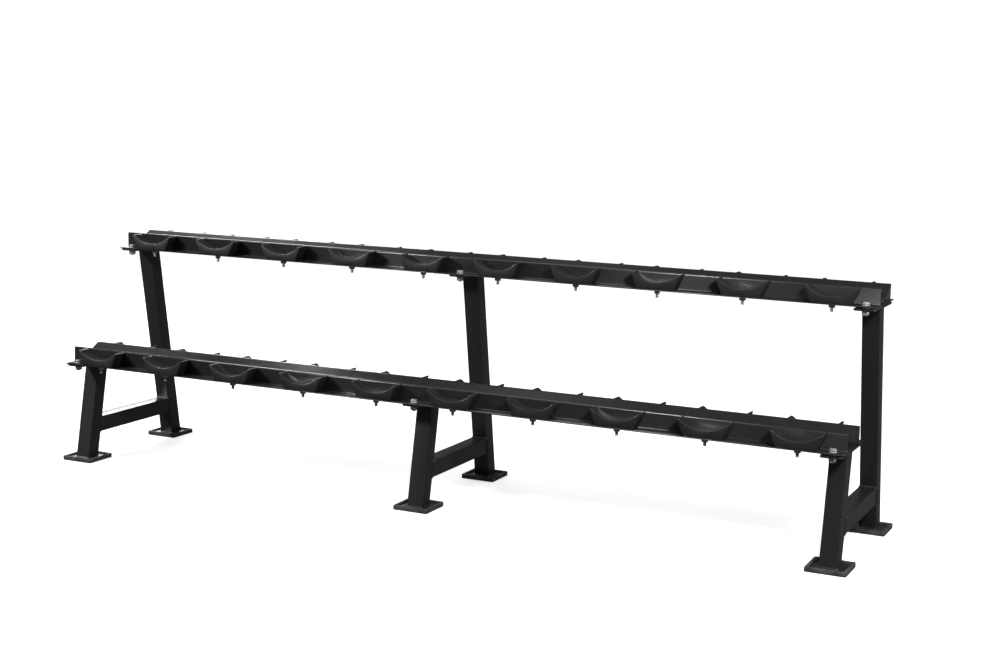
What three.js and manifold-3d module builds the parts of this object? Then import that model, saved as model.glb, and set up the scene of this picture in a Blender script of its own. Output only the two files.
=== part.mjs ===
// Two-tier saddle rack for ten pairs of dumbbells.
//
// Three welded tube frames carry two folded sheet rails, the upper one behind the lower.
// Every dumbbell lies across a rail with one head on a front saddle and one on a rear saddle,
// and its handle over the trough between them. Nothing on the rack moves.
//
// Millimetres. +X runs along the rack, +Y to the back, +Z up.
// The origin is on the floor, at the centre of the rack's footprint.

import * as THREE from 'three';
import { mergeVertices } from 'three/addons/utils/BufferGeometryUtils.js';
import Module from 'manifold-3d';

const wasm = await Module();
wasm.setup();

// ---- Driving dimensions ----

const RAIL_LENGTH = 2640;
const SADDLES_PER_ROW = 10;
const SHEET = 3;                  // rail sheet thickness
const RAIL_WIDTH = 129;           // outside of front wall to outside of rear wall
const RAIL_HEIGHT = 53;           // flange underside to top fold
const FLANGE = 45;                // flange depth, outwards from the wall
const TROUGH_HEIGHT = 20;         // flange underside to the top of the trough's vertex
const FOLD_RISE = 2.5;            // how far a top fold stands above the middle of the sheet
const LOWER_RAIL = { name: 'lower', y: -244.5, z: 333 };   // front wall face, flange underside
const UPPER_RAIL = { name: 'upper', y: 48.5, z: 698 };

const TUBE = 52;                  // square tube of the legs and crossbars
const TUBE_WALL = 3;
const CROSSBAR_Z = 89.5;          // underside of the crossbar
const FRONT_LEG = { rail: LOWER_RAIL, footY: -229.5, low: -256.5, high: -198 };
const REAR_LEG = { rail: UPPER_RAIL, footY: 231, low: 208, high: 91.5 };
const TOP_PLATE = { width: 64, inset: 2, thickness: 6, corner: 8 };
const FOOT_PLATE = { size: 96, thickness: 5 };
const VENT_RADIUS = 6;            // lets air out of the tubes when they are coated

const RUBBER = { size: 117, height: 14, floor: 4, pocket: 99, corner: 6 };
const RIGHT_FRAME_DROP = 4.5;     // the right frame stands this far below the rails, on spacers

const SADDLE = { height: 48, halfTop: 78.5, halfBase: 57, tip: 8, seat: 20.5 };
const STUD = { radius: 5, length: 22 };
const STUD_NUT = { across: 17, height: 8, washerRadius: 10, washer: 2 };
const BOLT = { radius: 6, across: 19, head: 7.5, nut: 10, washerRadius: 12, washer: 2.5, tail: 3 };
const HOLE_CLEARANCE = 0.6;       // hole radius over bolt or stud radius

const GAP = 0.3;                  // between pieces that touch
const ROUND_SIDES = 12;
const ARC_STEPS = 10;

const RAIL_END = RAIL_LENGTH / 2;
const PITCH = RAIL_LENGTH / SADDLES_PER_ROW;
const END_FRAME_X = RAIL_END - 35;                       // plate edges just inside the rail ends
const FRAMES = [
  { name: 'left', x: -END_FRAME_X, drop: 0 },
  { name: 'middle', x: 0, drop: 0 },
  { name: 'right', x: END_FRAME_X, drop: RIGHT_FRAME_DROP },
];

// ---- Materials ----

const paint = { color: 0x232425, roughness: 0.55, metalness: 0.2 };
const plastic = { color: 0x1b1c1d, roughness: 0.6, metalness: 0 };
const rubber = { color: 0x141414, roughness: 0.85, metalness: 0 };
const zinc = { color: 0xc3c6c8, roughness: 0.3, metalness: 1 };

// ---- Solids ----

function toSolid(geometry) {
  geometry.deleteAttribute('normal');
  geometry.deleteAttribute('uv');
  const merged = mergeVertices(geometry, 1e-4);
  return new wasm.Manifold(new wasm.Mesh({
    numProp: 3,
    vertProperties: new Float32Array(merged.attributes.position.array),
    triVerts: new Uint32Array(merged.index.array),
  }));
}

function toGeometry(solid) {
  const mesh = solid.getMesh();
  const geometry = new THREE.BufferGeometry();
  geometry.setAttribute('position', new THREE.BufferAttribute(mesh.vertProperties, 3));
  geometry.setIndex(new THREE.BufferAttribute(mesh.triVerts, 1));
  geometry.computeVertexNormals();
  return geometry;
}

function joinAll(solids) {
  return solids.reduce((joined, solid) => joined.add(solid));
}

function box(x0, x1, y0, y1, z0, z1) {
  const geometry = new THREE.BoxGeometry(x1 - x0, y1 - y0, z1 - z0);
  geometry.translate((x0 + x1) / 2, (y0 + y1) / 2, (z0 + z1) / 2);
  return toSolid(geometry);
}

function extrude(shape, depth) {
  return new THREE.ExtrudeGeometry(shape, { depth, bevelEnabled: false, curveSegments: 4 });
}

function outline(points) {
  return new THREE.Shape(points.map(([u, v]) => new THREE.Vector2(u, v)));
}

// An outline drawn in Y and Z, drawn out along X from x0 to x1.
function alongX(points, x0, x1) {
  const geometry = extrude(outline(points), x1 - x0);
  const basis = new THREE.Matrix4().makeBasis(
    new THREE.Vector3(0, 1, 0), new THREE.Vector3(0, 0, 1), new THREE.Vector3(1, 0, 0));
  geometry.applyMatrix4(basis).translate(x0, 0, 0);
  return toSolid(geometry);
}

// An outline drawn in X and Z, drawn out along Y from y0 to y1.
function alongY(points, y0, y1) {
  const geometry = extrude(outline(points), y1 - y0);
  const basis = new THREE.Matrix4().makeBasis(
    new THREE.Vector3(1, 0, 0), new THREE.Vector3(0, 0, 1), new THREE.Vector3(0, -1, 0));
  geometry.applyMatrix4(basis).translate(0, y1, 0);
  return toSolid(geometry);
}

// A flat plate with round corners.
function roundedPlate(x0, x1, y0, y1, z0, z1, corner) {
  const shape = new THREE.Shape();
  shape.moveTo(x0 + corner, y0);
  shape.lineTo(x1 - corner, y0).absarc(x1 - corner, y0 + corner, corner, -Math.PI / 2, 0);
  shape.lineTo(x1, y1 - corner).absarc(x1 - corner, y1 - corner, corner, 0, Math.PI / 2);
  shape.lineTo(x0 + corner, y1).absarc(x0 + corner, y1 - corner, corner, Math.PI / 2, Math.PI);
  shape.lineTo(x0, y0 + corner).absarc(x0 + corner, y0 + corner, corner, Math.PI, 1.5 * Math.PI);
  const geometry = extrude(shape, z1 - z0);
  geometry.translate(0, 0, z0);
  return toSolid(geometry);
}

function cylinder(x, y, z0, z1, radius, sides = ROUND_SIDES) {
  const geometry = new THREE.CylinderGeometry(radius, radius, z1 - z0, sides);
  geometry.rotateX(Math.PI / 2).translate(x, y, (z0 + z1) / 2);
  return toSolid(geometry);
}

function hexagon(x, y, z0, z1, acrossFlats) {
  return cylinder(x, y, z0, z1, acrossFlats / Math.sqrt(3), 6);
}

// ---- Rails ----

// The two sides of a folded strip, from the line its middle follows.
function foldedStrip(line, thickness) {
  const side = (sign) => line.map(([u, v], i) => {
    const point = new THREE.Vector2(u, v);
    const normals = [[i - 1, i], [i, i + 1]]
      .filter(([a, b]) => a >= 0 && b < line.length)
      .map(([a, b]) => new THREE.Vector2(-(line[b][1] - line[a][1]), line[b][0] - line[a][0]).normalize());
    const miter = normals.reduce((sum, n) => sum.clone().add(n)).normalize();
    const reach = (sign * thickness) / 2 / miter.dot(normals[0]);
    return point.addScaledVector(miter, reach).toArray();
  });
  return [...side(-1), ...side(1).reverse()];
}

function railProfile({ y, z }) {
  const half = SHEET / 2;
  const line = [
    [y - FLANGE, z + half],
    [y + half, z + half],
    [y + half, z + RAIL_HEIGHT - FOLD_RISE],
    [y + RAIL_WIDTH / 2, z + TROUGH_HEIGHT - half],
    [y + RAIL_WIDTH - half, z + RAIL_HEIGHT - FOLD_RISE],
    [y + RAIL_WIDTH - half, z + half],
    [y + RAIL_WIDTH + FLANGE, z + half],
  ];
  return foldedStrip(line, SHEET);
}

const rowsOf = (rail) => [
  { name: 'front', wall: rail.y, outwards: -1 },
  { name: 'rear', wall: rail.y + RAIL_WIDTH, outwards: 1 },
];
const flangeMiddle = (row) => row.wall + row.outwards * FLANGE / 2;
const saddleX = (index) => PITCH * (index + 0.5) - RAIL_END;

function makeRail(rail) {
  const holes = [];
  for (const row of rowsOf(rail)) {
    for (let i = 0; i < SADDLES_PER_ROW; i += 1) {
      holes.push([saddleX(i), flangeMiddle(row), STUD.radius]);
    }
    for (const frame of FRAMES) {
      holes.push([frame.x, flangeMiddle(row), BOLT.radius]);
    }
  }
  const strip = alongX(railProfile(rail), -RAIL_END, RAIL_END);
  const drills = holes.map(([x, y, radius]) =>
    cylinder(x, y, rail.z - SHEET, rail.z + 2 * SHEET, radius + HOLE_CLEARANCE, 8));
  return strip.subtract(joinAll(drills));
}

// ---- Saddles ----

// Trapezoid front with a round seat cut between two tips.
function saddleOutline(x, z) {
  const { height, halfTop, halfBase, tip, seat } = SADDLE;
  const halfSeat = halfTop - tip;
  const depth = height - seat;
  const radius = (halfSeat ** 2 + depth ** 2) / (2 * depth);
  const sweep = Math.asin(halfSeat / radius);
  const points = [[x - halfBase, z], [x + halfBase, z], [x + halfTop, z + height]];
  for (let i = 0; i <= ARC_STEPS; i += 1) {
    const angle = sweep * (1 - (2 * i) / ARC_STEPS);
    points.push([x + radius * Math.sin(angle), z + seat + radius * (1 - Math.cos(angle))]);
  }
  points.push([x - halfTop, z + height]);
  return points;
}

// One moulded saddle with its stud, washer and nut, clamped on the flange.
function makeSaddle(rail, row, index) {
  const x = saddleX(index);
  const y = flangeMiddle(row);
  const near = row.wall + row.outwards * GAP;
  const far = row.wall + row.outwards * FLANGE;
  const base = rail.z + SHEET + GAP;
  const under = rail.z - GAP;
  const nutTop = under - STUD_NUT.washer;
  return joinAll([
    alongY(saddleOutline(x, base), Math.min(near, far), Math.max(near, far)),
    cylinder(x, y, rail.z - STUD.length, base + SHEET, STUD.radius, 8),
    cylinder(x, y, nutTop, under, STUD_NUT.washerRadius),
    hexagon(x, y, nutTop - STUD_NUT.height, nutTop + GAP, STUD_NUT.across),
  ]);
}

// ---- Frames ----

const plateTop = (frame, rail) => rail.z - GAP - frame.drop;
const footPlateBottom = RUBBER.floor + GAP;
const footPlateTop = footPlateBottom + FOOT_PLATE.thickness;

// Front face of a leg at height z, for a leg that meets its top plate at zHead.
function legFace(leg, z, zHead) {
  return leg.low + ((leg.high - leg.low) * (z - footPlateTop)) / (zHead - footPlateTop);
}

// A leaning square tube between two heights, or its hollow when wall is given.
function legTube(frame, leg, z0, z1, zHead, wall = 0) {
  const near = (z) => legFace(leg, z, zHead) + wall;
  const far = (z) => legFace(leg, z, zHead) + TUBE - wall;
  const section = [[near(z0), z0], [far(z0), z0], [far(z1), z1], [near(z1), z1]];
  const half = TUBE / 2 - wall;
  return alongX(section, frame.x - half, frame.x + half);
}

// Two leaning legs with a plate at each end, joined by a crossbar near the floor.
function makeFrame(frame) {
  const solids = [];
  const hollows = [];
  const drills = [];
  for (const leg of [FRONT_LEG, REAR_LEG]) {
    const { rail, footY } = leg;
    const top = plateTop(frame, rail);
    const zHead = top - TOP_PLATE.thickness;
    const weld = TOP_PLATE.thickness / 2;
    solids.push(
      legTube(frame, leg, footPlateTop - weld, zHead + weld, zHead),
      roundedPlate(frame.x - TOP_PLATE.width / 2, frame.x + TOP_PLATE.width / 2,
        rail.y - FLANGE + TOP_PLATE.inset, rail.y + RAIL_WIDTH + FLANGE - TOP_PLATE.inset,
        zHead, top, TOP_PLATE.corner),
      box(frame.x - FOOT_PLATE.size / 2, frame.x + FOOT_PLATE.size / 2,
        footY - FOOT_PLATE.size / 2, footY + FOOT_PLATE.size / 2, footPlateBottom, footPlateTop),
    );
    hollows.push(legTube(frame, leg, footPlateTop, zHead, zHead, TUBE_WALL));
    drills.push(cylinder(frame.x, footY, 0, footPlateTop + FOOT_PLATE.thickness, VENT_RADIUS, 8));
    for (const row of rowsOf(rail)) {
      drills.push(cylinder(frame.x, flangeMiddle(row),
        zHead - GAP, top + GAP, BOLT.radius + HOLE_CLEARANCE, 8));
    }
  }

  const [front, rear] = [FRONT_LEG, REAR_LEG].map((leg) =>
    (z) => legFace(leg, z, plateTop(frame, leg.rail) - TOP_PLATE.thickness));
  const barTop = CROSSBAR_Z + TUBE;
  const barMiddle = CROSSBAR_Z + TUBE / 2;
  const barSection = (wall) => [
    [front(CROSSBAR_Z) + TUBE - TUBE_WALL + wall, CROSSBAR_Z + wall],
    [rear(CROSSBAR_Z) + TUBE_WALL - wall, CROSSBAR_Z + wall],
    [rear(barTop) + TUBE_WALL - wall, barTop - wall],
    [front(barTop) + TUBE - TUBE_WALL + wall, barTop - wall],
  ];
  const half = TUBE / 2;
  solids.push(alongX(barSection(0), frame.x - half, frame.x + half));
  hollows.push(alongX(barSection(TUBE_WALL), frame.x - half + TUBE_WALL, frame.x + half - TUBE_WALL));
  drills.push(box(frame.x - VENT_RADIUS, frame.x + VENT_RADIUS,
    front(barMiddle) + half, rear(barMiddle) + half,
    barMiddle - VENT_RADIUS, barMiddle + VENT_RADIUS));
  return joinAll(solids).subtract(joinAll(hollows)).subtract(joinAll(drills));
}

// ---- Feet and bolts ----

// A square cup of rubber that the foot plate sits in.
function makeFoot({ x }, { footY }) {
  const square = (size, z0, z1, corner) =>
    roundedPlate(x - size / 2, x + size / 2, footY - size / 2, footY + size / 2, z0, z1, corner);
  const block = square(RUBBER.size, 0, RUBBER.height, RUBBER.corner);
  return block.subtract(square(RUBBER.pocket, RUBBER.floor, RUBBER.height + 1, 0.5));
}

// A hex bolt down through flange and plate, with its washers, spacer and nut.
function makeBolt(frame, rail, row) {
  const { x } = frame;
  const y = flangeMiddle(row);
  const seat = rail.z + SHEET + GAP;
  const headBase = seat + BOLT.washer;
  const under = plateTop(frame, rail) - TOP_PLATE.thickness - GAP;
  const nutTop = under - BOLT.washer;
  const nutBase = nutTop - BOLT.nut;
  const pieces = [
    hexagon(x, y, headBase - GAP, headBase + BOLT.head, BOLT.across),
    cylinder(x, y, seat, headBase, BOLT.washerRadius),
    cylinder(x, y, nutBase - BOLT.tail, headBase, BOLT.radius, 8),
    cylinder(x, y, nutTop, under, BOLT.washerRadius),
    hexagon(x, y, nutBase, nutTop + GAP, BOLT.across),
  ];
  if (frame.drop > 0) {
    pieces.push(cylinder(x, y, plateTop(frame, rail) + GAP, rail.z - GAP, BOLT.washerRadius));
  }
  return joinAll(pieces);
}

// ---- Assembly ----

const rack = new THREE.Group();

function addMesh(name, solid, finish) {
  const mesh = new THREE.Mesh(toGeometry(solid), new THREE.MeshStandardMaterial(finish));
  mesh.name = name;
  rack.add(mesh);
}

for (const rail of [LOWER_RAIL, UPPER_RAIL]) {
  addMesh(`${rail.name}_rail`, makeRail(rail), paint);
  for (const row of rowsOf(rail)) {
    for (let i = 0; i < SADDLES_PER_ROW; i += 1) {
      const number = String(i + 1).padStart(2, '0');
      addMesh(`${rail.name}_${row.name}_saddle_${number}`, makeSaddle(rail, row, i), plastic);
    }
  }
}

for (const frame of FRAMES) {
  addMesh(`${frame.name}_frame`, makeFrame(frame), paint);
  addMesh(`${frame.name}_front_foot`, makeFoot(frame, FRONT_LEG), rubber);
  addMesh(`${frame.name}_rear_foot`, makeFoot(frame, REAR_LEG), rubber);
  for (const rail of [LOWER_RAIL, UPPER_RAIL]) {
    const [frontRow] = rowsOf(rail);
    addMesh(`${frame.name}_${rail.name}_front_bolt`, makeBolt(frame, rail, frontRow), zinc);
  }
}

export default rack;
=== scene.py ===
# Dumbbell rack for ten pairs on two tiers: three welded tube frames stand in rubber cups and
# carry two folded sheet rails, and moulded saddles are nutted along both sides of each rail.
# The sections follow the order in which the rack is put together, from the floor up.
import math

import bmesh
import bpy
from mathutils import Matrix, Vector


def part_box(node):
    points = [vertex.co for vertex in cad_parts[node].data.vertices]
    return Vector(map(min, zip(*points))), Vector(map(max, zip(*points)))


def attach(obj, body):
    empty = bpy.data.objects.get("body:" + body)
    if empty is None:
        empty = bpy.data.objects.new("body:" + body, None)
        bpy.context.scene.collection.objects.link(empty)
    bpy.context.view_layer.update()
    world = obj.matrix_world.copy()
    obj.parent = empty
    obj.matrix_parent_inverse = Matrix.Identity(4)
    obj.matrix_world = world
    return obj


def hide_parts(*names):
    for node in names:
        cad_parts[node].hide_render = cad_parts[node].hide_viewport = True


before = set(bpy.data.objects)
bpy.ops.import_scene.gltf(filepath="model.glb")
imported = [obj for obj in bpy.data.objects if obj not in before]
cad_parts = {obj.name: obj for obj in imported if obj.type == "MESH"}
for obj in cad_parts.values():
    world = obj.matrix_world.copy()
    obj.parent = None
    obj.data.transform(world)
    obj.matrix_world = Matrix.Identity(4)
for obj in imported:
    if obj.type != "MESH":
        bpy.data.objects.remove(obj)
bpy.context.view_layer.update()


# ---- Rubber feet ----
# Each leg ends in a square moulded rubber cup. It has a flat rim round a sunken floor, rounded
# upright corners and soft edges, and the frame's weight alone keeps it on the foot plate.

MM = 0.001
FRAME_NAMES = ("left", "middle", "right")
CUP_RIM = 9 * MM
CUP_CORNER = 6 * MM
CUP_INNER_CORNER = 3 * MM
CUP_DEPTH = 10 * MM
CUP_EDGE = 1.3 * MM
CORNER_STEPS = 5                  # faces in the arc of a rounded corner


def middle(node):
    """The centre of a CAD node's box."""
    low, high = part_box(node)
    return (low + high) / 2


def block(low, high):
    """A bmesh box between two corners."""
    shape = bmesh.new()
    bmesh.ops.create_cube(shape, size=1)
    bmesh.ops.scale(shape, vec=high - low, verts=shape.verts)
    bmesh.ops.translate(shape, vec=(low + high) / 2, verts=shape.verts)
    return shape


def bevel(shape, edges, offset, segments):
    bmesh.ops.bevel(
        shape, geom=edges, offset=offset, offset_type="OFFSET", affect="EDGES",
        segments=segments, profile=0.5, material=-1, clamp_overlap=True)


def upright_edges(shape):
    """The edges that rise, which are the corners of a flat block."""
    return [e for e in shape.edges if abs(e.verts[0].co.z - e.verts[1].co.z) > 2 * MM]


def sharp_edges(shape, degrees=40):
    """The edges that bend more than this angle."""
    return [e for e in shape.edges if e.calc_face_angle(0) > math.radians(degrees)]


def face_towards(shape, direction):
    """The outermost face whose normal points that way."""
    axis = Vector(direction)
    facing = [f for f in shape.faces if f.normal.dot(axis) > 0.99]
    return max(facing, key=lambda f: f.calc_center_median().dot(axis))


def to_mesh(shape, name, smooth_below=35):
    """The bmesh as a mesh, smooth across every edge that bends less than the given angle."""
    bmesh.ops.recalc_face_normals(shape, faces=shape.faces)
    mesh = bpy.data.meshes.new(name)
    shape.to_mesh(mesh)
    shape.free()
    mesh.shade_smooth()
    mesh.set_sharp_from_angle(angle=math.radians(smooth_below))
    return mesh


def add_piece(name, mesh, material, slot, *stands_for):
    """Puts a finished mesh on the rack, in place of the CAD nodes it stands for."""
    piece = bpy.data.objects.new(name, mesh)
    bpy.context.scene.collection.objects.link(piece)
    mesh.materials.append(material)
    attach(piece, "root")
    if stands_for:
        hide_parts(*stands_for)
    return piece


def colour(hex_code):
    """sRGB hex to the linear colour that a shader socket takes."""
    parts = [int(hex_code[i:i + 2], 16) / 255 for i in (1, 3, 5)]
    return [c / 12.92 if c <= 0.04045 else ((c + 0.055) / 1.055) ** 2.4 for c in parts] + [1]


def add_node(material, kind, links=None, **settings):
    """Adds a node. Settings are attributes or input sockets, and links maps an input to an output."""
    node = material.node_tree.nodes.new(kind)
    for name, value in settings.items():
        if hasattr(node, name):
            setattr(node, name, value)
        else:
            node.inputs[name.replace("_", " ")].default_value = value
    for name, output in (links or {}).items():
        material.node_tree.links.new(output, node.inputs[name])
    return node


def new_material(name, **settings):
    """A material with one Principled shader, its settings, and a node with object coordinates."""
    material = bpy.data.materials.new(name)
    material.use_nodes = True
    shader = material.node_tree.nodes["Principled BSDF"]
    for socket, value in settings.items():
        shader.inputs[socket.replace("_", " ")].default_value = value
    place = add_node(material, "ShaderNodeTexCoord").outputs["Object"]
    return material, shader, place


def per_metre(millimetres):
    """The texture scale at which one cell of a pattern measures this much."""
    return 1 / (millimetres * MM)


# Moulded natural rubber: dull black, with a faint grey bloom in patches and the fine matt
# grain of a sand-blasted mould. The grain is really about 0.4 mm and is drawn at 1.5 mm.
rubber, shader, place = new_material("moulded_rubber", IOR=1.52, Specular_IOR_Level=0.35)
bloom = add_node(rubber, "ShaderNodeTexNoise", {"Vector": place}, Scale=per_metre(35), Detail=4)
tint = add_node(rubber, "ShaderNodeValToRGB", {"Fac": bloom.outputs["Fac"]})
tint.color_ramp.elements[0].position = 0.35
tint.color_ramp.elements[0].color = colour("#303030")
tint.color_ramp.elements[1].position = 0.75
tint.color_ramp.elements[1].color = colour("#585755")
dullness = add_node(
    rubber, "ShaderNodeMapRange", {"Value": bloom.outputs["Fac"]}, To_Min=0.5, To_Max=0.75)
grain = add_node(rubber, "ShaderNodeTexNoise", {"Vector": place}, Scale=per_metre(1.5), Detail=3)
relief = add_node(
    rubber, "ShaderNodeBump", {"Height": grain.outputs["Fac"]}, Strength=0.8, Distance=0.25 * MM)
rubber.node_tree.links.new(tint.outputs["Color"], shader.inputs["Base Color"])
rubber.node_tree.links.new(dullness.outputs["Result"], shader.inputs["Roughness"])
rubber.node_tree.links.new(relief.outputs["Normal"], shader.inputs["Normal"])


def foot_cup(low, high):
    """A square cup: its top face is inset in two steps, and the inner part is sunk."""
    shape = block(low, high)
    bevel(shape, upright_edges(shape), CUP_CORNER, CORNER_STEPS)
    top = face_towards(shape, (0, 0, 1))
    inset = CUP_CORNER - CUP_INNER_CORNER
    bmesh.ops.inset_region(shape, faces=[top], thickness=inset)
    half = (high.x - low.x) / 2
    factor = (half - CUP_RIM) / (half - inset)
    bmesh.ops.scale(
        shape, vec=(factor, factor, 1), verts=top.verts, space=Matrix.Translation(-(low + high) / 2))
    bmesh.ops.inset_region(shape, faces=[top], thickness=0, depth=-CUP_DEPTH)
    bevel(shape, sharp_edges(shape), CUP_EDGE, 3)
    return shape


for name in FRAME_NAMES:
    for end in ("front", "rear"):
        node = f"{name}_{end}_foot"
        add_piece(f"{node}_cup", to_mesh(foot_cup(*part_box(node)), node), rubber, "foot", node)


# ---- Welded frames ----
# Each frame is welded from 2 inch square steel tube: a short front leg and a tall rear leg lean
# towards each other, joined by a crossbar, with a foot plate and a bolt plate on each leg.

TUBE = 52 * MM
TUBE_CORNER = 2.5 * MM
PLATE = 6 * MM
FOOT_PLATE = {"size": 96 * MM, "base": 4.3 * MM, "thickness": 5 * MM, "corner": 2 * MM}
TOP_PLATE_WIDTH = 64 * MM
TOP_PLATE_INSET = 2 * MM
TOP_PLATE_CORNER = 8 * MM
CROSSBAR_Z = 89.5 * MM
PLATE_EDGE = 0.8 * MM
BURIED = 0.5 * MM                 # how far a tube's end reaches into what it is welded to
BEAD = 3.2 * MM                   # radius of a weld bead
RIPPLE = 3.5 * MM                 # length of one ripple of a bead
RIPPLE_NECK = 0.86                # a bead's radius between two ripples, as a part of BEAD

# How far a leg's middle stands behind the middle of its foot and behind the middle of its rail.
LEGS = {
    "front": {"tier": "lower", "at_foot": -1 * MM, "at_rail": 8 * MM},
    "rear": {"tier": "upper", "at_foot": 3 * MM, "at_rail": 4.5 * MM},
}

# Textured black powder coat: polyester powder baked on steel, satin, with a pebbled skin that
# breaks a highlight into specks. The pebbles are really about 1 mm and are drawn at 2.4 mm.
coat, shader, place = new_material(
    "black_powder_coat", IOR=1.5, Specular_IOR_Level=0.45, Coat_Weight=0.5, Coat_Roughness=0.28)
cloud = add_node(coat, "ShaderNodeTexNoise", {"Vector": place}, Scale=per_metre(140), Detail=3)
pebbles = add_node(
    coat, "ShaderNodeTexVoronoi", {"Vector": place}, feature="SMOOTH_F1", Scale=per_metre(2.4),
    Smoothness=0.6)
dust = add_node(coat, "ShaderNodeTexNoise", {"Vector": place}, Scale=per_metre(5), Detail=5)
tint = add_node(coat, "ShaderNodeValToRGB", {"Fac": dust.outputs["Fac"]})
tint.color_ramp.elements[0].position = 0.3
tint.color_ramp.elements[0].color = colour("#171718")
tint.color_ramp.elements[1].position = 0.8
tint.color_ramp.elements[1].color = colour("#232425")
satin = add_node(coat, "ShaderNodeMapRange", {"Value": cloud.outputs["Fac"]}, To_Min=0.28, To_Max=0.4)
relief = add_node(
    coat, "ShaderNodeBump", {"Height": pebbles.outputs["Distance"]}, Strength=0.5, Distance=0.2 * MM)
coat.node_tree.links.new(tint.outputs["Color"], shader.inputs["Base Color"])
coat.node_tree.links.new(satin.outputs["Result"], shader.inputs["Roughness"])
coat.node_tree.links.new(relief.outputs["Normal"], shader.inputs["Normal"])
coat_relief = add_node(
    coat, "ShaderNodeBump", {"Height": pebbles.outputs["Distance"]}, Strength=0.2, Distance=0.1 * MM)
coat.node_tree.links.new(coat_relief.outputs["Normal"], shader.inputs["Coat Normal"])


def rounded_square(size, corner):
    """A flat square face with round corners, at the origin."""
    shape = bmesh.new()
    bmesh.ops.create_grid(shape, x_segments=1, y_segments=1, size=size / 2)
    bmesh.ops.bevel(
        shape, geom=shape.verts[:], offset=corner, offset_type="OFFSET", affect="VERTICES",
        segments=CORNER_STEPS, profile=0.5, material=-1)
    return shape


def drawn_out(shape, move):
    """Extrudes every face of a flat shape by a vector, and returns the far vertices."""
    grown = bmesh.ops.extrude_face_region(shape, geom=shape.faces[:])
    far = [v for v in grown["geom"] if isinstance(v, bmesh.types.BMVert)]
    bmesh.ops.translate(shape, vec=move, verts=far)
    return far


def leg_tube(foot, head):
    """A leaning tube whose ends are level, from the middle of its foot to that of its head."""
    shape = rounded_square(TUBE, TUBE_CORNER)
    drawn_out(shape, head - foot)
    bmesh.ops.translate(shape, vec=foot, verts=shape.verts)
    return shape


def crossbar_tube(x, front_face, rear_face):
    """A level tube whose ends are cut to the lean of the two legs."""
    shape = rounded_square(TUBE, TUBE_CORNER)
    bmesh.ops.rotate(shape, matrix=Matrix.Rotation(math.pi / 2, 3, "X"), verts=shape.verts)
    bmesh.ops.translate(shape, vec=(x, 0, CROSSBAR_Z + TUBE / 2), verts=shape.verts)
    near = shape.verts[:]
    far = drawn_out(shape, Vector((0, TUBE, 0)))
    for vert in near:
        vert.co.y = front_face(vert.co.z) - BURIED
    for vert in far:
        vert.co.y = rear_face(vert.co.z) + BURIED
    return shape


def flat_plate(low, high, corner):
    """A cut plate with rounded corners and slightly softened edges."""
    shape = block(low, high)
    bevel(shape, upright_edges(shape), corner, CORNER_STEPS)
    bevel(shape, sharp_edges(shape, 60), PLATE_EDGE, 2)
    return shape


def weld_bead(corners):
    """A rippled bead laid round a closed path, through its corners in order."""
    line = bpy.data.curves.new("bead", "CURVE")
    line.dimensions = "3D"
    line.bevel_depth = BEAD
    line.bevel_resolution = 2
    spots = []
    for start, end in zip(corners, corners[1:] + corners[:1]):
        steps = max(1, round((end - start).length / (RIPPLE / 2)))
        spots += [start.lerp(end, i / steps) for i in range(steps)]
    spline = line.splines.new("POLY")
    spline.use_cyclic_u = True
    spline.points.add(len(spots) - 1)
    for i, (point, spot) in enumerate(zip(spline.points, spots)):
        point.co = (*spot, 1)
        point.radius = 1 if i % 2 else RIPPLE_NECK
    holder = bpy.data.objects.new("bead", line)
    mesh = bpy.data.meshes.new_from_object(holder)
    bpy.data.objects.remove(holder)
    return mesh


def path_round(centre, across, along, half, corner):
    """The corners of a bead's path round a square tube, with two points at each corner."""
    path = []
    for u, v in ((-1, -1), (1, -1), (1, 1), (-1, 1)):
        first, second = (half, half - corner), (half - corner, half)
        pair = (first, second) if u * v > 0 else (second, first)
        path += [centre + across * (u * a) + along * (v * b) for a, b in pair]
    return path


def joined(meshes, name):
    """Several meshes as one, with only their sharp edges left unsmoothed."""
    shape = bmesh.new()
    for mesh in meshes:
        shape.from_mesh(mesh)
        bpy.data.meshes.remove(mesh)
    return to_mesh(shape, name, smooth_below=60)


def gap_under_rails(name):
    """How far a frame's bolt plates stand below the flanges that they carry."""
    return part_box("upper_rail")[0].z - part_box(f"{name}_frame")[1].z


def inner_face(foot, lean, side):
    """A leaning leg's face towards the crossbar, as a function that gives y at a height."""
    return lambda z: foot.y + (z - foot.z) * lean.y + side * TUBE / 2


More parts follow.
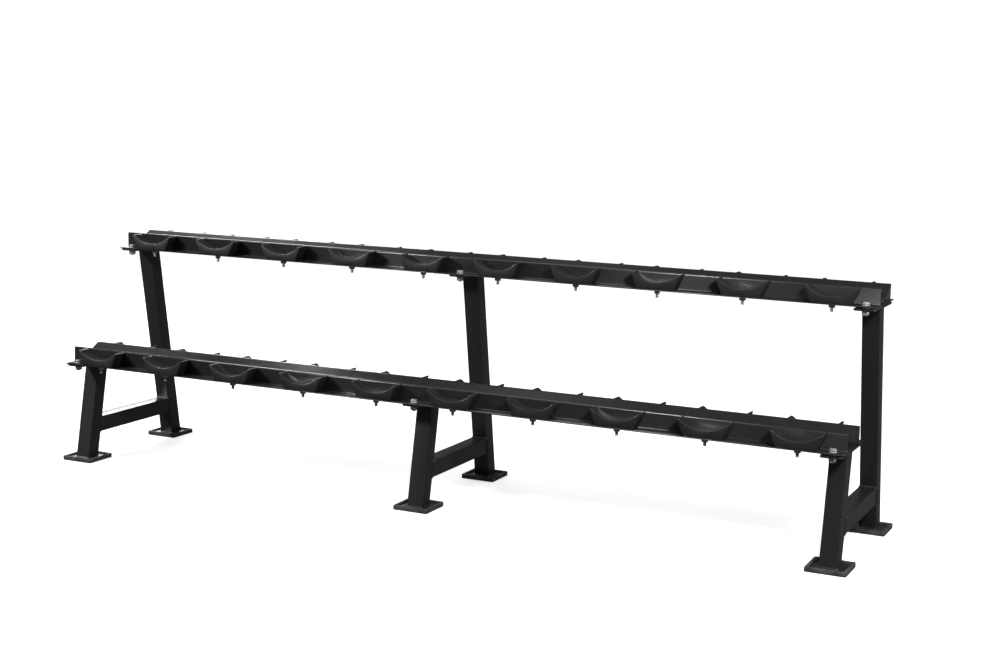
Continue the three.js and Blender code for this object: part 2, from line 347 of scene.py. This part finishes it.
def frame_pieces(name):
    """Builds one frame, and gives each of its pieces as (name, mesh)."""
    pieces = []
    beads = []
    faces = {}
    x = middle(f"{name}_front_foot").x
    foot_z = FOOT_PLATE["base"] + FOOT_PLATE["thickness"]
    bar_z = CROSSBAR_Z + TUBE / 2
    across = Vector((1, 0, 0))
    for end, leg in LEGS.items():
        cup = middle(f"{name}_{end}_foot")
        rail_low, rail_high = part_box(f"{leg['tier']}_rail")
        plate_top = rail_low.z - gap_under_rails(name)
        foot = Vector((x, cup.y + leg["at_foot"], foot_z))
        head = Vector((x, (rail_low.y + rail_high.y) / 2 + leg["at_rail"], plate_top - PLATE))
        reach = (head - foot).normalized() * BURIED
        pieces.append((f"{name}_{end}_leg", to_mesh(leg_tube(foot - reach, head + reach), "leg")))

        half = Vector((FOOT_PLATE["size"] / 2, FOOT_PLATE["size"] / 2, 0))
        low, high = Vector((x, cup.y, FOOT_PLATE["base"])), Vector((x, cup.y, foot_z))
        plate = flat_plate(low - half, high + half, FOOT_PLATE["corner"])
        pieces.append((f"{name}_{end}_foot_plate", to_mesh(plate, "foot_plate")))

        low = Vector((x - TOP_PLATE_WIDTH / 2, rail_low.y + TOP_PLATE_INSET, plate_top - PLATE))
        high = Vector((x + TOP_PLATE_WIDTH / 2, rail_high.y - TOP_PLATE_INSET, plate_top))
        plate = flat_plate(low, high, TOP_PLATE_CORNER)
        pieces.append((f"{name}_{leg['tier']}_bolt_plate", to_mesh(plate, "bolt_plate")))

        lean = (head - foot) / (head.z - foot.z)
        for at in (foot, head):
            path = path_round(at, across, Vector((0, 1, 0)), TUBE / 2, TUBE_CORNER)
            beads.append(weld_bead(path))
        faces[end] = inner_face(foot, lean, 1 if end == "front" else -1)
        centre = Vector((x, faces[end](bar_z), bar_z))
        beads.append(weld_bead(path_round(centre, across, lean, TUBE / 2, TUBE_CORNER)))
    bar = crossbar_tube(x, faces["front"], faces["rear"])
    pieces.append((f"{name}_crossbar", to_mesh(bar, "crossbar")))
    pieces.append((f"{name}_weld_beads", joined(beads, "weld_beads")))
    return pieces


for name in FRAME_NAMES:
    for piece_name, mesh in frame_pieces(name):
        add_piece(piece_name, mesh, coat, "frame", f"{name}_frame")


# ---- Rails ----
# Each rail is one length of 3 mm steel sheet, folded to an M with a shallow trough between two
# upright walls and a flange along each side. It is powder coated like the frames, and bolts
# through its flanges hold it down on the bolt plates.

TIERS = ("lower", "upper")
SHEET = 3 * MM
FLANGE = 45 * MM
TROUGH = 20 * MM                  # flange underside to the top of the trough's vertex
BEND = 6 * MM                     # outer radius of the folds
FOLD_STEPS = 6                    # faces in the arc of a fold
TOUCHING = 0.01 * MM              # points nearer than this count as one


def tangent(line, i):
    """How far a fold's arc reaches along the sheet on each side of vertex i."""
    before = (line[i] - line[i - 1]).normalized()
    after = (line[i + 1] - line[i]).normalized()
    return (BEND - SHEET / 2) * math.tan(before.angle(after) / 2)


def rail_sheet(low, high):
    """The middle surface of the sheet, with its folds rounded."""
    y0, y1 = low.y + FLANGE + SHEET / 2, high.y - FLANGE - SHEET / 2
    flange_z = low.z + SHEET / 2
    trough = Vector((0, (y0 + y1) / 2, low.z + TROUGH - SHEET / 2))
    turn = math.pi - math.atan2((y1 - y0) / 2, high.z - trough.z)
    fold_z = high.z - BEND + (BEND - SHEET / 2) * math.tan(turn / 2)
    line = [
        Vector((0, low.y, flange_z)), Vector((0, y0, flange_z)), Vector((0, y0, fold_z)), trough,
        Vector((0, y1, fold_z)), Vector((0, y1, flange_z)), Vector((0, high.y, flange_z)),
    ]
    shape = bmesh.new()
    verts = [shape.verts.new(point + Vector((low.x, 0, 0))) for point in line]
    edges = [shape.edges.new(pair) for pair in zip(verts, verts[1:])]
    grown = bmesh.ops.extrude_edge_only(shape, edges=edges)
    far = [v for v in grown["geom"] if isinstance(v, bmesh.types.BMVert)]
    bmesh.ops.translate(shape, vec=(high.x - low.x, 0, 0), verts=far)
    for i in range(1, len(line) - 1):
        fold = [
            e for e in shape.edges
            if all((Vector((0, *v.co.yz)) - line[i]).length < TOUCHING for v in e.verts)]
        bevel(shape, fold, tangent(line, i), FOLD_STEPS)
    return shape


for tier in TIERS:
    node = f"{tier}_rail"
    mesh = to_mesh(rail_sheet(*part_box(node)), node)
    piece = add_piece(f"{tier}_folded_rail", mesh, coat, "rail", node)
    shell = piece.modifiers.new("sheet_thickness", "SOLIDIFY")
    shell.thickness = SHEET
    shell.offset = 0
    shell.use_even_offset = True


# ---- Saddles and their studs ----
# A saddle is a block of black moulded plastic with a round seat for a dumbbell's head. A zinc
# plated M10 stud is moulded into its base, and a washer and nut under the flange clamp it.

SADDLE_HEIGHT = 48 * MM
HALF_TOP = 78.5 * MM
HALF_BASE = 57 * MM
TIP = 8 * MM                      # width of the flat tip at each end of the seat
SEAT = 20.5 * MM                  # height of the seat's lowest point over the saddle's base
SEAT_STEPS = 24                   # faces in the seat's arc
SADDLE_EDGE = 1.6 * MM
TIP_ROUNDING = 3.8 * MM
STUD = 5 * MM                     # radius
STUD_LENGTH = 22 * MM             # below the flange's underside
STUD_NUT = {"across": 17 * MM, "height": 8 * MM}
STUD_WASHER = {"radius": 10 * MM, "height": 2 * MM}
THREAD_PITCH = 1.5 * MM
THREAD_DEPTH = 0.9 * MM
HEX_CHAMFER = 0.05                # of a nut's or head's width across its flats
ROD_SIDES = 20
WASHER_SIDES = 28

# Black nylon, moulded with a fine spark-eroded grain and a soft sheen. The grain is really
# about 0.5 mm and is drawn at 1.8 mm.
nylon, shader, place = new_material(
    "moulded_nylon", IOR=1.53, Specular_IOR_Level=0.35, Coat_Weight=0.3, Coat_Roughness=0.25)
flow = add_node(nylon, "ShaderNodeTexNoise", {"Vector": place}, Scale=per_metre(60), Detail=3)
tint = add_node(nylon, "ShaderNodeValToRGB", {"Fac": flow.outputs["Fac"]})
tint.color_ramp.elements[0].position = 0.3
tint.color_ramp.elements[0].color = colour("#1a1a1b")
tint.color_ramp.elements[1].position = 0.7
tint.color_ramp.elements[1].color = colour("#242425")
sheen = add_node(nylon, "ShaderNodeMapRange", {"Value": flow.outputs["Fac"]}, To_Min=0.4, To_Max=0.52)
grain = add_node(nylon, "ShaderNodeTexNoise", {"Vector": place}, Scale=per_metre(1.8), Detail=4)
relief = add_node(
    nylon, "ShaderNodeBump", {"Height": grain.outputs["Fac"]}, Strength=0.5, Distance=0.15 * MM)
nylon.node_tree.links.new(tint.outputs["Color"], shader.inputs["Base Color"])
nylon.node_tree.links.new(sheen.outputs["Result"], shader.inputs["Roughness"])
nylon.node_tree.links.new(relief.outputs["Normal"], shader.inputs["Normal"])

# Bright zinc plating on steel: a thin clear-passivated layer, silvery with faint blue and straw
# patches, and slightly uneven gloss from the tumbling.
zinc, shader, place = new_material("bright_zinc_plating", Metallic=0.65)
patches = add_node(zinc, "ShaderNodeTexNoise", {"Vector": place}, Scale=per_metre(9), Detail=3)
tint = add_node(zinc, "ShaderNodeValToRGB", {"Fac": patches.outputs["Fac"]})
tint.color_ramp.elements[0].position = 0.35
tint.color_ramp.elements[0].color = colour("#a9afb5")
tint.color_ramp.elements[1].position = 0.7
tint.color_ramp.elements[1].color = colour("#c1bdb1")
gloss = add_node(zinc, "ShaderNodeMapRange", {"Value": patches.outputs["Fac"]}, To_Min=0.3, To_Max=0.45)
pits = add_node(zinc, "ShaderNodeTexNoise", {"Vector": place}, Scale=per_metre(0.8), Detail=2)
relief = add_node(
    zinc, "ShaderNodeBump", {"Height": pits.outputs["Fac"]}, Strength=0.3, Distance=0.05 * MM)
zinc.node_tree.links.new(tint.outputs["Color"], shader.inputs["Base Color"])
zinc.node_tree.links.new(gloss.outputs["Result"], shader.inputs["Roughness"])
zinc.node_tree.links.new(relief.outputs["Normal"], shader.inputs["Normal"])


def saddle_block(depth):
    """A saddle standing at the origin, its front face towards -Y and its back at +Y."""
    half_seat = HALF_TOP - TIP
    fall = SADDLE_HEIGHT - SEAT
    radius = (half_seat ** 2 + fall ** 2) / (2 * fall)
    shape = bmesh.new()
    places = (
        (half_seat, SADDLE_HEIGHT), (HALF_TOP, SADDLE_HEIGHT), (HALF_BASE, 0), (-HALF_BASE, 0),
        (-HALF_TOP, SADDLE_HEIGHT), (-half_seat, SADDLE_HEIGHT))
    verts = [shape.verts.new((x, -depth / 2, z)) for x, z in places]
    for pair in zip(verts, verts[1:]):
        shape.edges.new(pair)
    bmesh.ops.spin(
        shape, geom=[verts[0]], cent=(0, -depth / 2, SEAT + radius), axis=(0, 1, 0),
        angle=2 * math.asin(half_seat / radius), steps=SEAT_STEPS)
    bmesh.ops.remove_doubles(shape, verts=shape.verts, dist=TOUCHING)
    bmesh.ops.contextual_create(shape, geom=shape.edges[:])
    tips = [v for v in shape.verts if v.co.z > SADDLE_HEIGHT - TOUCHING]
    bmesh.ops.bevel(
        shape, geom=tips, offset=TIP_ROUNDING, offset_type="OFFSET", affect="VERTICES",
        segments=CORNER_STEPS, profile=0.5, material=-1)
    drawn_out(shape, Vector((0, depth, 0)))
    bevel(shape, sharp_edges(shape), SADDLE_EDGE, 3)
    return shape


def turned(profile, sides):
    """A closed turned piece on the Z axis, from its outline in radius and height."""
    shape = bmesh.new()
    verts = [shape.verts.new((r, 0, z)) for r, z in profile]
    edges = [shape.edges.new(pair) for pair in zip(verts, verts[1:])]
    bmesh.ops.spin(
        shape, geom=verts + edges, axis=(0, 0, 1), cent=(0, 0, 0), angle=2 * math.pi,
        steps=sides, use_merge=True)
    bmesh.ops.remove_doubles(shape, verts=shape.verts, dist=TOUCHING)
    return shape


def threaded_rod(radius, low, high, thread_top):
    """A rod from low to high with a cut thread below thread_top and a chamfered lower end."""
    profile = [(0, low), (radius - THREAD_DEPTH, low)]
    z = low + THREAD_DEPTH
    while z < thread_top:
        profile += [(radius, z), (radius - THREAD_DEPTH, z + THREAD_PITCH / 2)]
        z += THREAD_PITCH
    profile += [(radius, z), (radius, high), (0, high)]
    return turned(profile, ROD_SIDES)


def washer(radius, low, high):
    """A round disc with chamfered rims. Its hole is filled by the rod."""
    edge = (high - low) / 4
    return turned([
        (0, low), (radius - edge, low), (radius, low + edge), (radius, high - edge),
        (radius - edge, high), (0, high)], WASHER_SIDES)


def hexagon(across, low, high):
    """A nut or a bolt head, with its corners chamfered at both ends."""
    shape = bmesh.new()
    corner = across / math.sqrt(3)
    bmesh.ops.create_cone(
        shape, cap_ends=True, segments=6, radius1=corner, radius2=corner, depth=high - low)
    bmesh.ops.translate(shape, vec=(0, 0, (low + high) / 2), verts=shape.verts)
    rims = [e for e in shape.edges if abs(e.verts[0].co.z - e.verts[1].co.z) < TOUCHING]
    bevel(shape, rims, across * HEX_CHAMFER, 2)
    return shape


def put_together(shapes, name, place=(0, 0, 0)):
    """Several bmeshes as one mesh, moved to its place."""
    meshes = [to_mesh(shape, name) for shape in shapes]
    mesh = joined(meshes, name)
    mesh.transform(Matrix.Translation(place))
    return mesh


def placed_copy(master, place, turn):
    """A copy of a mesh, turned on the Z axis and moved to its place."""
    mesh = master.copy()
    mesh.transform(Matrix.Translation(place) @ Matrix.Rotation(turn, 4, "Z"))
    return mesh


def stud_set():
    """The stud, washer and nut on a flange whose underside is at height 0."""
    nut_top = -STUD_WASHER["height"]
    nut_low = nut_top - STUD_NUT["height"]
    return [
        threaded_rod(STUD, -STUD_LENGTH, SHEET, nut_low),
        washer(STUD_WASHER["radius"], nut_top, 0),
        hexagon(STUD_NUT["across"], nut_low, nut_top),
    ]


low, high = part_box("lower_front_saddle_01")
saddle_master = to_mesh(saddle_block(high.y - low.y), "saddle")
stud_master = put_together(stud_set(), "stud_set")

for tier in TIERS:
    flange_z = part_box(f"{tier}_rail")[0].z
    for row in ("front", "rear"):
        for number in range(1, 11):
            node = f"{tier}_{row}_saddle_{number:02d}"
            low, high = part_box(node)
            base = Vector(((low.x + high.x) / 2, (low.y + high.y) / 2, high.z - SADDLE_HEIGHT))
            turn = 0 if row == "front" else math.pi
            mesh = placed_copy(saddle_master, base, turn)
            add_piece(f"{tier}_{row}_saddle_block_{number:02d}", mesh, nylon, "saddle", node)
            # Each nut stops at its own angle when it is tight.
            spin = math.radians(37 * number + (20 if row == "front" else 45))
            stud_place = Vector((base.x, base.y, flange_z))
            mesh = placed_copy(stud_master, stud_place, spin)
            add_piece(f"{tier}_{row}_stud_{number:02d}", mesh, zinc, "fastener", node)


# ---- Frame bolts ----
# A zinc plated M12 hex bolt goes down through each flange and bolt plate, in front of and behind
# each leg, with a washer at each end and a nut below. On the right frame a spacer fills the gap.

BOLT = 6 * MM                     # radius
ACROSS = 19 * MM                  # a head or nut, from flat to flat
HEAD = 7.5 * MM
NUT = 10 * MM
WASHER = 2.5 * MM
WASHER_RADIUS = 12 * MM
TAIL = 3 * MM                     # the bolt's end below its nut
LEAST_SPACER = 1 * MM


def bolt_set(low, high, flange, plate_top):
    """A bolt from its lowest point to the top of its head, with washers, nut and any spacer."""
    head_base = high - HEAD
    nut_low = low + TAIL
    shapes = [
        hexagon(ACROSS, head_base, high),
        washer(WASHER_RADIUS, head_base - WASHER, head_base),
        threaded_rod(BOLT, low, head_base, nut_low),
        hexagon(ACROSS, nut_low, nut_low + NUT),
        washer(WASHER_RADIUS, nut_low + NUT, nut_low + NUT + WASHER),
    ]
    if flange - plate_top > LEAST_SPACER:
        shapes.append(washer(WASHER_RADIUS, plate_top, flange))
    return shapes


for name in FRAME_NAMES:
    for tier in TIERS:
        node = f"{name}_{tier}_front_bolt"
        low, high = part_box(node)
        rail_low, rail_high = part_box(f"{tier}_rail")
        plate_top = rail_low.z - gap_under_rails(name)
        front = (low + high) / 2
        for row, y in (("front", front.y), ("rear", rail_low.y + rail_high.y - front.y)):
            shapes = bolt_set(low.z, high.z, rail_low.z, plate_top)
            mesh = put_together(shapes, "bolt_set", (front.x, y, 0))
            stands_for = [node] if row == "front" else []
            add_piece(f"{name}_{tier}_{row}_bolt_set", mesh, zinc, "fastener", *stands_for)


# ---- Floor, light and camera ----
# A plain pale studio floor, softboxes in front at left and right, at the right side, and behind
# and overhead at left, a soft light from above, and a camera at chest height in front of the rack,
# a metre beyond its right end.

FLOOR_REACH = 30

# Seamless background paper: white and matt, with a fine tooth. It glows a little, so that its far
# end stays as white as the near one.
paper, shader, place = new_material(
    "pale_floor", Roughness=0.9, Specular_IOR_Level=0.1, Emission_Color=colour("#ffffff"),
    Emission_Strength=0.64)
tooth = add_node(paper, "ShaderNodeTexNoise", {"Vector": place}, Scale=per_metre(3), Detail=2)
tint = add_node(paper, "ShaderNodeValToRGB", {"Fac": tooth.outputs["Fac"]})
tint.color_ramp.elements[0].color = colour("#efefef")
tint.color_ramp.elements[1].color = colour("#f6f6f6")
paper.node_tree.links.new(tint.outputs["Color"], shader.inputs["Base Color"])

shape = bmesh.new()
bmesh.ops.create_grid(shape, x_segments=1, y_segments=1, size=FLOOR_REACH)
mesh = bpy.data.meshes.new("floor")
shape.to_mesh(mesh)
shape.free()
mesh.materials.append(paper)
floor = bpy.data.objects.new("floor", mesh)
bpy.context.scene.collection.objects.link(floor)
floor.visible_diffuse = False     # black flags keep the floor's light off the rack
floor.visible_glossy = False


def softbox(name, place, target, width, height, power):
    """A rectangular lamp that faces its target, with its power in watts."""
    light = bpy.data.lights.new(name, "AREA")
    light.shape = "RECTANGLE"
    light.size = width
    light.size_y = height
    light.energy = power
    lamp = bpy.data.objects.new(name, light)
    lamp.location = place
    lamp.rotation_euler = (Vector(target) - Vector(place)).to_track_quat("-Z", "Y").to_euler()
    bpy.context.scene.collection.objects.link(lamp)


softbox("right_softbox", (2.6, -2.1, 2.1), (0.4, 0, 0.4), 0.4, 0.4, 85)
softbox("left_softbox", (-2.9, -2.2, 2.1), (-0.4, 0, 0.4), 0.7, 0.3, 105)
softbox("side_softbox", (4.4, 0.1, 1.0), (1.0, 0, 0.4), 0.8, 0.8, 35)
softbox("rear_softbox", (-4.0, 3.7, 2.0), (-0.4, 0, 0.5), 1.6, 1.0, 55)
softbox("overhead_softbox", (-3.4, 0.9, 2.7), (-0.6, 0, 0.6), 2.2, 1.6, 9)

ceiling = bpy.data.lights.new("bounced_ceiling", "SUN")
ceiling.energy = 1.2
ceiling.angle = math.radians(50)
lamp = bpy.data.objects.new("bounced_ceiling", ceiling)
lamp.rotation_euler = (math.radians(12), 0, 0)
bpy.context.scene.collection.objects.link(lamp)

sky = bpy.data.worlds.new("studio")
sky.use_nodes = True
bpy.context.scene.world = sky
nodes, links = sky.node_tree.nodes, sky.node_tree.links
ray = nodes.new("ShaderNodeLightPath")
dim, bright = nodes["Background"], nodes.new("ShaderNodeBackground")
dim.inputs["Color"].default_value = colour("#dcdcdc")
dim.inputs["Strength"].default_value = 0.12
bright.inputs["Color"].default_value = colour("#ffffff")
mix = nodes.new("ShaderNodeMixShader")
links.new(ray.outputs["Is Camera Ray"], mix.inputs[0])
links.new(dim.outputs[0], mix.inputs[1])
links.new(bright.outputs[0], mix.inputs[2])
links.new(mix.outputs[0], nodes["World Output"].inputs["Surface"])

bpy.context.scene.view_settings.view_transform = "Standard"

CAMERA_PLACE = (2.3319, -4.5470, 1.3152)
CAMERA_TURN = 0.44637             # to the left of straight back, in radians
CAMERA_TILT = 0.15516             # below the horizon
CAMERA_ROLL = 0.02165
FOCAL_LENGTH = 58.96              # in millimetres, for a sensor 36 mm wide
lens = bpy.data.cameras.new("camera")
lens.sensor_width = 36
lens.lens = FOCAL_LENGTH
camera = bpy.data.objects.new("camera", lens)
bpy.context.scene.collection.objects.link(camera)
aim = (
    Matrix.Rotation(CAMERA_TURN, 4, "Z") @ Matrix.Rotation(math.pi / 2 - CAMERA_TILT, 4, "X")
    @ Matrix.Rotation(CAMERA_ROLL, 4, "Z"))
camera.matrix_world = Matrix.Translation(CAMERA_PLACE) @ aim
bpy.context.scene.camera = camera
